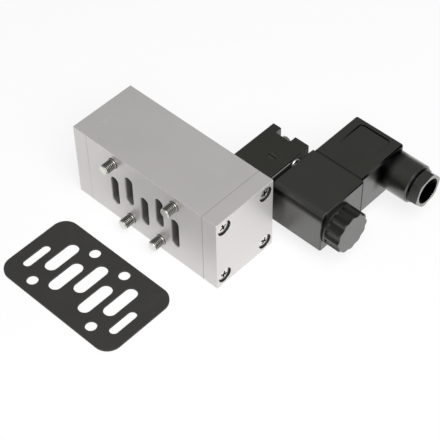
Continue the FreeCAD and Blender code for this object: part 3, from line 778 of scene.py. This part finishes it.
def carve(mesh, cutter_mesh):
    """Cuts one mesh out of another, bevels the sharp edges and returns the result."""
    scene = bpy.context.scene.collection.objects
    body = bpy.data.objects.new("body", mesh)
    cutter = bpy.data.objects.new("cutter", cutter_mesh)
    scene.link(body)
    scene.link(cutter)
    cut = body.modifiers.new("cut", "BOOLEAN")
    cut.operation = "DIFFERENCE"
    cut.solver = "EXACT"
    cut.use_self = True
    cut.object = cutter
    soften = body.modifiers.new("soften", "BEVEL")
    soften.width = 0.06 * MM
    soften.segments = 2
    soften.limit_method = "ANGLE"
    soften.angle_limit = math.radians(40)
    bpy.context.view_layer.update()
    evaluated = body.evaluated_get(bpy.context.evaluated_depsgraph_get())
    result = bpy.data.meshes.new_from_object(evaluated)
    bpy.data.objects.remove(body)
    bpy.data.objects.remove(cutter)
    return result


def cross_cutter(width, arm, depth, top):
    """Two crossed, tapered bars for a cross recess; arm is the width of one."""
    mesh = bpy.data.meshes.new("cross")
    build = bmesh.new()
    for turn in (0, 90):
        verts, faces = tapered_bar(width / 2, arm / 2, depth, RECESS_TAPER, top)
        spun = Matrix.Rotation(math.radians(turn), 4, "Z")
        made = [build.verts.new(spun @ Vector(v)) for v in verts]
        for face in faces:
            build.faces.new([made[i] for i in face])
    bmesh.ops.recalc_face_normals(build, faces=build.faces)
    build.to_mesh(mesh)
    build.free()
    return mesh


def slot_cutter(reach, width, depth, top):
    """Straight bar for a slot, which reaches as far to both sides of the middle."""
    verts, faces = tapered_bar(reach, width / 2, depth, 1.0, top)
    mesh = bpy.data.meshes.new("slot")
    mesh.from_pydata(verts, [], faces)
    return mesh


def socket_cutter(across, depth, top):
    """Hexagonal hole going down from the top."""
    radius = across / math.sqrt(3)
    verts = []
    for z in (top - depth, top):
        for i in range(6):
            angle = math.radians(60 * i)
            verts.append((radius * math.cos(angle), radius * math.sin(angle), z))
    faces = [(5, 4, 3, 2, 1, 0), (6, 7, 8, 9, 10, 11)]
    faces += [(i, (i + 1) % 6, 6 + (i + 1) % 6, 6 + i) for i in range(6)]
    mesh = bpy.data.meshes.new("socket")
    mesh.from_pydata(verts, [], faces)
    return mesh


def stand(mesh, point, direction, spin):
    """Copy of a mesh drawn along Z, whose Z runs along a direction from a point."""
    turn = Vector(direction).to_track_quat("Z", "Y").to_matrix().to_4x4()
    placed = mesh.copy()
    placed.transform(Matrix.Translation(point) @ turn @ Matrix.Rotation(math.radians(spin), 4, "Z"))
    return placed


def coil_mesh(name, outer, wire, start, end, turns, centre_y):
    """Round-wire spring along X, its end turns closed up and ground flat."""
    mean = (outer - wire) / 2
    steps = 36
    sides = 10
    closing = 1.2
    count = int(turns * steps)
    span = end - start - wire
    verts = []
    for i in range(count + 1):
        done = i / count
        ease = done - closing / turns * math.sin(2 * math.pi * done) / (2 * math.pi)
        x = start + wire / 2 + span * ease
        turn = 2 * math.pi * i / steps
        for j in range(sides):
            side = 2 * math.pi * j / sides
            radius = mean + wire / 2 * math.cos(side)
            off = wire / 2 * math.sin(side)
            here = min(max(x + off, start), end)
            verts.append((here, centre_y + radius * math.cos(turn), radius * math.sin(turn)))
    faces = []
    for i in range(count):
        for j in range(sides):
            k = (j + 1) % sides
            a, b = i * sides, (i + 1) * sides
            faces.append((a + j, a + k, b + k, b + j))
    faces.append(tuple(range(sides)))
    faces.append(tuple(count * sides + j for j in reversed(range(sides))))
    return smooth_mesh(name, verts, faces, sharp_degrees=60)


# Pieces

def new_piece(name, mesh, materials, body, nodes):
    """Puts a finished mesh in the scene, on its body and in place of the nodes it stands for."""
    piece = bpy.data.objects.new(name, mesh)
    bpy.context.scene.collection.objects.link(piece)
    for material in materials:
        mesh.materials.append(material)
    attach(piece, body)
    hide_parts(*nodes)
    return piece


def add_screws(name, mesh, materials, node, places):
    """Adds a screw at each place: a point on its axis, where its head faces, and its spin.

    The spins differ, because real screws stop at any turn.
    """
    for number, (point, direction, spin) in enumerate(places, 1):
        placed = stand(mesh, point, direction, spin)
        new_piece("%s_%d" % (name, number), placed, materials, "valve", [node])


def add_spring(node, wire, turns, marks, joint):
    """Makes a spring in a node's place.
    """
    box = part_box(node)
    low, high = box
    centre = (low.y + high.y) / 2
    name = node.replace("_", " ")
    mesh = coil_mesh(name, high.z - low.z, wire, low.x, high.x, turns, centre)
    steel = metal(name + " wire", finishes().spring_steel, rough=0.3, scale=marks)
    spring = new_piece(node + "_wire", mesh, [steel], "valve", [node])
    keep = 1 - joint_range(joint) / (high.x - low.x)
    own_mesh(spring)


class VALVE_OT_block(bpy.types.Operator):
    """Finish the valve block and its two end caps"""

    bl_idname = "valve.block"
    bl_label = "Block and caps"

    def execute(self, context):
        look = finishes()
        along_x = (0.03, 5, 5)
        along_y = (3, 0.08, 3)
        dress("valve_body", anodised("block aluminium", along_x, port_walls, look.port_shade))
        cap = anodised("cap aluminium", along_y, screw_pockets, look.pocket_shade)
        dress("spring_end_cap", cap)
        dress("pilot_end_cap", cap)
        return {"FINISHED"}


class VALVE_OT_cap_screws(bpy.types.Operator):
    """Make the end caps' pan-head screws, with a cross recess and a thread"""

    bl_idname = "valve.cap_screws"
    bl_label = "Cap screws"

    def execute(self, context):
        size = sizes()
        low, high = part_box("cap_screws")
        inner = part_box("valve_body")[1].x
        crown = high.x
        seat = crown - CAP_HEAD_HEIGHT
        tip = inner - CAP_SHANK_IN_BLOCK
        outline = shank_outline(tip, seat, CAP_SHANK_RADIUS, SOFT) + self.head_outline(seat, crown)
        zinc = metal("cap screw zinc", finishes().head_zinc, rough=0.3, scale=5.0)
        plain = turned("cap screw", outline, Thread(tip, inner, size.cap_pitch))
        top = crown + CUTTER_RAISE
        cutter = cross_cutter(size.recess_width, size.recess_slot, size.recess_depth, top)
        mesh = carve(plain, cutter)
        # Faces inside the cross recess take the second material, painted shade.
        wall = 2.05 * MM
        rim = crown - 0.25 * MM
        pick_materials(mesh, lambda radius, height: radius < wall and seat < height < rim)
        places = []
        for side in (-1, 1):
            for y in head_places(low.y, high.y, 2 * CAP_HEAD_RADIUS):
                for z in head_places(low.z, high.z, 2 * CAP_HEAD_RADIUS):
                    spin = (17 + 37 * len(places)) % 90
                    places.append(((0, y, z), (side, 0, 0), spin))
        materials = [zinc, shadowed("cap screw recess")]
        add_screws("cap_screw", mesh, materials, "cap_screws", places)
        return {"FINISHED"}

    def head_outline(self, seat, crown):
        """Low cylinder with bevelled edges and a slight dome."""
        radius = CAP_HEAD_RADIUS
        lower_bevel = 0.1 * MM
        upper_bevel = 0.12 * MM
        dome_middle = crown - CAP_HEAD_DOME
        rim = radius - upper_bevel
        rise = math.sqrt(CAP_HEAD_DOME ** 2 - rim ** 2)
        start = math.degrees(math.acos(rim / CAP_HEAD_DOME))
        side = [(seat, radius - lower_bevel), (seat + lower_bevel, radius)]
        side.append((dome_middle + rise - upper_bevel, radius))
        return side + arc((dome_middle, 0), CAP_HEAD_DOME, start, 90, 8)[:-1] + [(crown, 0)]


class VALVE_OT_mounting_screws(bpy.types.Operator):
    """Make the long socket-head mounting screws with their threaded ends"""

    bl_idname = "valve.mounting_screws"
    bl_label = "Mounting screws"

    def execute(self, context):
        size = sizes()
        low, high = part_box("mounting_screws")
        studs = [m for m in frame["record"]["mounts"] if m["name"].startswith("stud")]
        radius = studs[0]["dims"]["r_mm"] * MM
        neck_start = studs[0]["pos_m"][1] + studs[0]["dims"]["length_mm"] * MM / 2
        tip = low.y
        top = high.y
        seat = top - MOUNT_HEAD_HEIGHT
        neck = [(neck_start, MOUNT_NECK_RADIUS), (seat, MOUNT_NECK_RADIUS)]
        head = [(seat, MOUNT_HEAD_RADIUS)] + top_outline(top, MOUNT_HEAD_RADIUS, SOFT, 5)
        outline = shank_outline(tip, neck_start, radius, SOFT) + neck + head
        plain = turned("mounting screw", outline, Thread(tip, neck_start, size.mount_pitch))
        mesh = carve(plain, socket_cutter(size.socket, MOUNT_SOCKET_DEPTH, top + CUTTER_RAISE))
        groove = radius - 0.24 * size.mount_pitch

        def finish(reach, height):
            """2 on the end face, 1 deep in the thread, where shade is painted, and 0 elsewhere."""
            if height < tip + 0.3 * MM:
                return 2
            return tip + SOFT < height < neck_start and reach < groove

        pick_materials(mesh, finish)
        look = finishes()
        # The screws' zinc is darkened as painted shade of the fine thread, the thread's grooves get
        # painted shade, and the end face keeps the bright plating.
        materials = [
            metal("mounting screw zinc", look.shaded_stud_zinc, rough=0.30, scale=4.0),
            shadowed("thread groove"),
            metal("mounting screw end", look.head_zinc, rough=0.4, scale=4.0),
        ]
        rows = [(m["pos_m"][0], m["pos_m"][2]) for m in studs]
        places = [((x, 0, z), (0, 1, 0), 25 * index) for index, (x, z) in enumerate(rows)]
        add_screws("mounting_screw", mesh, materials, "mounting_screws", places)
        return {"FINISHED"}


class VALVE_OT_spool_parts(bpy.types.Operator):
    """Finish the spool and its piston, and make the return spring"""

    bl_idname = "valve.spool_parts"
    bl_label = "Spool parts"

    def execute(self, context):
        look = finishes()
        dress("spool", metal("spool aluminium", look.steel, rough=0.25, stretch=(4, 0.3, 0.3)))
        piston = moulded("piston plastic", look.piston, rough=0.45, depth=0.01, sheen=0.5)
        dress("pilot_piston", piston)
        add_spring("return_spring", 1.0 * MM, turns=5, marks=3.0, joint="spool_shift")
        return {"FINISHED"}


class VALVE_OT_pilot_base(bpy.types.Operator):
    """Finish the pilot base and its manual override"""

    bl_idname = "valve.pilot_base"
    bl_label = "Pilot base"

    def execute(self, context):
        look = finishes()
        soft = 0.08 * MM
        rough = look.plastic_rough + 0.06
        base = moulded("base plastic", look.plastic, rough, depth=0.03, sheen=0.6, radius=soft)
        dress("pilot_base", base)
        shaft = moulded("override plastic", look.override, 0.42, depth=0.01, sheen=0.6, radius=soft)
        dress("manual_override", shaft)
        dress("nozzle", metal("nozzle brass", look.brass, rough=0.26, stretch=(4, 0.3, 0.3)))
        return {"FINISHED"}


class VALVE_OT_armature_parts(bpy.types.Operator):
    """Finish the armature, its tube and core, and make the armature's spring"""

    bl_idname = "valve.armature_parts"
    bl_label = "Armature parts"

    def execute(self, context):
        look = finishes()
        steel = metal("turned steel", look.steel, rough=0.3, stretch=(4, 0.3, 0.3))
        for node in ("armature", "armature_tube", "fixed_core"):
            dress(node, steel)
        dress("armature_seal", rubbery("armature rubber", look.rubber))
        add_spring("armature_spring", 0.5 * MM, turns=7, marks=5.0, joint="armature_pull")
        return {"FINISHED"}


class VALVE_OT_clamp_plate(bpy.types.Operator):
    """Finish the bright clamp plate between pilot base and coil"""

    bl_idname = "valve.clamp_plate"
    bl_label = "Clamp plate"

    def execute(self, context):
        # The plate's face towards the coil and the strip beside its upper screw get painted shade.
        steel = metal("plate steel", finishes().bright_steel, rough=0.2, stretch=(1, 0.2, 3),
                      scale=4.0, radius=0.03 * MM, dark=plate_shade)
        dress("clamp_plate", steel)
        return {"FINISHED"}


class VALVE_OT_small_screws(bpy.types.Operator):
    """Make the small screws of the base, the plate and the plug"""

    bl_idname = "valve.small_screws"
    bl_label = "Small screws"

    def execute(self, context):
        zinc = [metal("small screw zinc", finishes().zinc, rough=0.25, scale=5.0)]
        self.base_screws(zinc)
        self.plate_screws()
        self.plug_screw(zinc)
        return {"FINISHED"}

    def slotted(self, name, tip, top, head_height):
        """Cheese-head screw along Z with a slot and a thread at its end."""
        radius = SMALL_HEAD_RADIUS
        seat = top - head_height
        outline = shank_outline(tip, seat, SMALL_SHANK_RADIUS, SMALL_SOFT)
        outline += [(seat, radius)] + top_outline(top, radius, SMALL_SOFT, 4)
        thread = Thread(tip, tip + SMALL_THREAD_LENGTH, sizes().small_pitch)
        plain = turned(name, outline, thread, SMALL_STEPS)
        return carve(plain, slot_cutter(2 * radius, SLOT_WIDTH, SLOT_DEPTH, top + CUTTER_RAISE))

    def base_screws(self, zinc):
        low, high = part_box("base_screws")
        mesh = self.slotted("base screw", low.y, high.y, BASE_HEAD_HEIGHT)
        x = (low.x + high.x) / 2
        rows = head_places(low.z, high.z, 2 * SMALL_HEAD_RADIUS)
        places = [((x, 0, z), (0, 1, 0), 20 + 50 * index) for index, z in enumerate(rows)]
        add_screws("base_screw", mesh, zinc, "base_screws", places)

    def plate_screws(self):
        low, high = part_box("plate_screws")
        rim = PLATE_HEAD_RADIUS
        tip = low.x
        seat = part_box("clamp_plate")[0].x
        top = high.x + PLATE_HEAD_RAISE
        outline = shank_outline(tip, seat, SMALL_SHANK_RADIUS, SMALL_SOFT)
        outline += [(high.x, rim)] + top_outline(top, rim, SOFT, 6)
        thread = Thread(tip, seat, sizes().small_pitch)
        plain = turned("plate screw", outline, thread, SMALL_STEPS)
        cutter = cross_cutter(
            PLATE_RECESS_WIDTH, PLATE_RECESS_ARM, PLATE_RECESS_DEPTH, top + CUTTER_RAISE)
        mesh = carve(plain, cutter)
        # Faces inside the cross recess take the second material, painted shade.
        wall = 1.6 * MM
        pick_materials(mesh, lambda radius, height: radius < wall and height > seat)
        zinc = metal("plate screw zinc", finishes().head_zinc, rough=0.42, scale=3.0)
        rows = zip(head_places(low.y, high.y, 2 * rim), head_places(low.z, high.z, 2 * rim))
        places = [((0, y, z), (1, 0, 0), 30 * index) for index, (y, z) in enumerate(rows)]
        materials = [zinc, shadowed("plate screw recess")]
        add_screws("plate_screw", mesh, materials, "plate_screws", places)

    def plug_screw(self, zinc):
        low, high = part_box("plug_screw")
        mesh = self.slotted("plug screw", low.y, high.y, PLUG_HEAD_HEIGHT)
        placed = stand(mesh, ((low.x + high.x) / 2, 0, 0), (0, 1, 0), 35)
        new_piece("plug_screw_turned", placed, zinc, "valve", ["plug_screw"])


class VALVE_OT_coil(bpy.types.Operator):
    """Finish the coil and its blades"""

    bl_idname = "valve.coil"
    bl_label = "Coil"

    def execute(self, context):
        look = finishes()
        rough = look.plastic_rough + 0.04
        body = moulded("coil plastic", look.plastic, rough, depth=0.015, sheen=0.9,
                       coat_rough=0.34, line=coil_shade)
        dress("coil_body", body)
        dress("coil_blades", metal("blade tin", look.tin, rough=0.3, stretch=(0.4, 0.4, 3)))
        return {"FINISHED"}


class VALVE_OT_coil_nut(bpy.types.Operator):
    """Finish the coil nut and the seal ring under it"""

    bl_idname = "valve.coil_nut"
    bl_label = "Coil nut"

    def execute(self, context):
        look = finishes()
        rough = look.plastic_rough + 0.05
        nut = moulded("nut plastic", look.plastic, rough, depth=0.02, sheen=0.8,
                      radius=0.3 * MM, line=flutes)
        dress("coil_nut", nut)
        # The seal ring is black rubber, darkened further with painted shade of the gap under the
        # nut.
        dress("nut_seal", rubbery("nut seal rubber", look.pocket_shade, rough=0.9, sheen=0.1))
        return {"FINISHED"}


class VALVE_OT_plug(bpy.types.Operator):
    """Finish the cable plug, its insert, contacts and seal"""

    bl_idname = "valve.plug"
    bl_label = "Plug"

    def execute(self, context):
        look = finishes()
        housing = moulded("plug plastic", look.plastic, look.plug_rough, depth=0.012, sheen=0.9,
                          radius=0.08 * MM, line=plug_shade)
        dress("plug_housing", housing)
        insert = moulded("insert plastic", look.plastic, rough=0.5, depth=0.02, sheen=0.5)
        dress("plug_insert", insert)
        dress("plug_contacts", metal("contact tin", look.tin, rough=0.32, stretch=(0.4, 0.4, 3)))
        dress("plug_seal", rubbery("plug seal rubber", look.rubber))
        return {"FINISHED"}


class VALVE_OT_gland(bpy.types.Operator):
    """Finish the cable gland's nut and sleeve"""

    bl_idname = "valve.gland"
    bl_label = "Gland"

    def execute(self, context):
        look = finishes()
        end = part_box("gland_nut")[1].x / MM
        rough = look.plug_rough + 0.04
        nut = moulded("gland plastic", look.plastic, rough, depth=0.012, sheen=0.9,
                      radius=0.08 * MM, line=gland_shade, pale=lambda x, y, z: x > end - 0.08)
        dress("gland_nut", nut)
        # The sleeve is black rubber, darkened further with painted shade inside the gland's mouth.
        dress("gland_grommet", rubbery("sleeve rubber", look.pocket_shade, rough=0.9))
        return {"FINISHED"}


class VALVE_OT_gasket(bpy.types.Operator):
    """Finish the flat mounting gasket beside the valve"""

    bl_idname = "valve.gasket"
    bl_label = "Gasket"

    def execute(self, context):
        sheet = rubbery("gasket rubber", finishes().gasket, rough=0.62, grain=4.0, speck=0.3)
        dress("mounting_gasket", sheet)
        return {"FINISHED"}


# Stage

CAMERA_PLACE = Vector((0.30078, -0.26633, 0.44875))
CAMERA_RIGHT = Vector((0.72992, 0.68342, -0.01240))
CAMERA_UP = Vector((-0.50861, 0.55517, 0.65811))
CAMERA_BACK = Vector((0.45665, -0.47406, 0.75282))
LAMP_PLACE = Vector((0.62, -0.28, 0.95))
LAMP_AIM = Vector((0.02, 0.03, 0.0))
LAMP_SIDE = 0.9
FLOOR_HALF = 4.0
FLOOR_GAP = 0.00002
SEEN_GLOW = 0.8
MIRRORED_GLOW = 0.9


class VALVE_OT_stage(bpy.types.Operator):
    """Lay the white floor and set up the lamp, the surround and the camera"""

    bl_idname = "valve.stage"
    bl_label = "Stage"

    def execute(self, context):
        stage = bpy.context.scene.valve_stage
        self.floor(stage)
        self.surround(stage)
        self.lamp(stage)
        self.camera(stage)
        return {"FINISHED"}

    def floor(self, stage):
        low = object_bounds()[0]
        half = FLOOR_HALF
        z = low[2] - FLOOR_GAP
        mesh = bpy.data.meshes.new("floor")
        corners = [(-half, -half, z), (half, -half, z), (half, half, z), (-half, half, z)]
        mesh.from_pydata(corners, [], [(0, 1, 2, 3)])
        floor = bpy.data.objects.new("floor", mesh)
        bpy.context.scene.collection.objects.link(floor)
        mesh.materials.append(self.floor_paint(stage))
        floor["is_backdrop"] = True

    def floor_paint(self, stage):
        """White to the camera and in reflections, with the object's soft shadow kept."""
        paint = Paint("floor white")
        patches = paint.noise(scale=0.004)
        paint.set(Base_Color=paint.tint(stage.floor, patches, swing=0.01), Roughness=0.8)
        glow = paint.node("ShaderNodeEmission", None, {"Color": WHITE, "Strength": 1.0})
        path = paint.node("ShaderNodeLightPath")
        seen = Signal(paint, path.outputs["Is Camera Ray"])
        mirrored = Signal(paint, path.outputs["Is Glossy Ray"])
        through = Signal(paint, path.outputs["Is Transmission Ray"])
        amount = seen * SEEN_GLOW + mirrored * MIRRORED_GLOW + through * MIRRORED_GLOW
        inputs = {0: amount, 1: paint.shader.outputs[0], 2: glow.outputs[0]}
        mixed = paint.node("ShaderNodeMixShader", None, inputs)
        paint.feed(paint.tree.nodes["Material Output"].inputs["Surface"], mixed.outputs[0])
        return paint.material

    def surround(self, stage):
        """White to the camera, and dim where it lights the valve or shows in its metal."""
        world = bpy.data.worlds.new("surround")
        bpy.context.scene.world = world
        world.use_nodes = True
        nodes = Nodes(world.node_tree)
        dim = nodes.tree.nodes["Background"]
        nodes.feed(dim.inputs["Color"], WHITE)
        nodes.feed(dim.inputs["Strength"], stage.sky)
        white = nodes.node("ShaderNodeBackground", None, {"Color": WHITE})
        seen = nodes.node("ShaderNodeLightPath").outputs["Is Camera Ray"]
        inputs = {0: seen, 1: dim.outputs[0], 2: white.outputs[0]}
        mixed = nodes.node("ShaderNodeMixShader", None, inputs)
        nodes.feed(nodes.tree.nodes["World Output"].inputs["Surface"], mixed.outputs[0])

    def lamp(self, stage):
        data = bpy.data.lights.new("top lamp", "AREA")
        data.shape = "SQUARE"
        data.size = LAMP_SIDE
        data.energy = stage.top
        lamp = bpy.data.objects.new("top lamp", data)
        lamp.location = LAMP_PLACE
        lamp.rotation_euler = (LAMP_PLACE - LAMP_AIM).to_track_quat("Z", "Y").to_euler()
        bpy.context.scene.collection.objects.link(lamp)

    def camera(self, stage):
        data = bpy.data.cameras.new("camera")
        data.sensor_width = 36.0
        data.lens = stage.focal
        data.clip_start = 0.01
        camera = bpy.data.objects.new("camera", data)
        turn = Matrix((CAMERA_RIGHT, CAMERA_UP, CAMERA_BACK)).transposed().to_4x4()
        camera.matrix_world = Matrix.Translation(CAMERA_PLACE) @ turn
        bpy.context.scene.collection.objects.link(camera)
        bpy.context.scene.camera = camera
        bpy.context.scene.view_settings.view_transform = "Standard"


PIECES = (
    VALVE_OT_block,
    VALVE_OT_cap_screws,
    VALVE_OT_mounting_screws,
    VALVE_OT_spool_parts,
    VALVE_OT_pilot_base,
    VALVE_OT_armature_parts,
    VALVE_OT_clamp_plate,
    VALVE_OT_small_screws,
    VALVE_OT_coil,
    VALVE_OT_coil_nut,
    VALVE_OT_plug,
    VALVE_OT_gland,
    VALVE_OT_gasket,
    VALVE_OT_stage,
)


class VALVE_PT_panel(bpy.types.Panel):
    """Lists the valve's pieces, finishes, sizes and stage"""

    bl_idname = "VALVE_PT_panel"
    bl_label = "Solenoid valve"
    bl_space_type = "VIEW_3D"
    bl_region_type = "UI"
    bl_category = "Valve"

    def draw(self, context):
        column = self.layout.column(align=True)
        for piece in PIECES:
            column.operator(piece.bl_idname)
        for name in ("valve_finishes", "valve_sizes", "valve_stage"):
            group = getattr(context.scene, name)
            box = self.layout.box()
            for field in group.bl_rna.properties:
                if field.identifier not in ("rna_type", "name"):
                    box.prop(group, field.identifier)


CLASSES = (ValveFinishes, ValveSizes, ValveStage) + PIECES + (VALVE_PT_panel,)


def register():
    for item in CLASSES:
        bpy.utils.register_class(item)
    bpy.types.Scene.valve_finishes = PointerProperty(type=ValveFinishes)
    bpy.types.Scene.valve_sizes = PointerProperty(type=ValveSizes)
    bpy.types.Scene.valve_stage = PointerProperty(type=ValveStage)


def unregister():
    del bpy.types.Scene.valve_stage
    del bpy.types.Scene.valve_sizes
    del bpy.types.Scene.valve_finishes
    for item in reversed(CLASSES):
        bpy.utils.unregister_class(item)


def main():
    register()
    for piece in PIECES:
        group, action = piece.bl_idname.split(".")
        getattr(getattr(bpy.ops, group), action)()


if __name__ == "__main__":
    main()
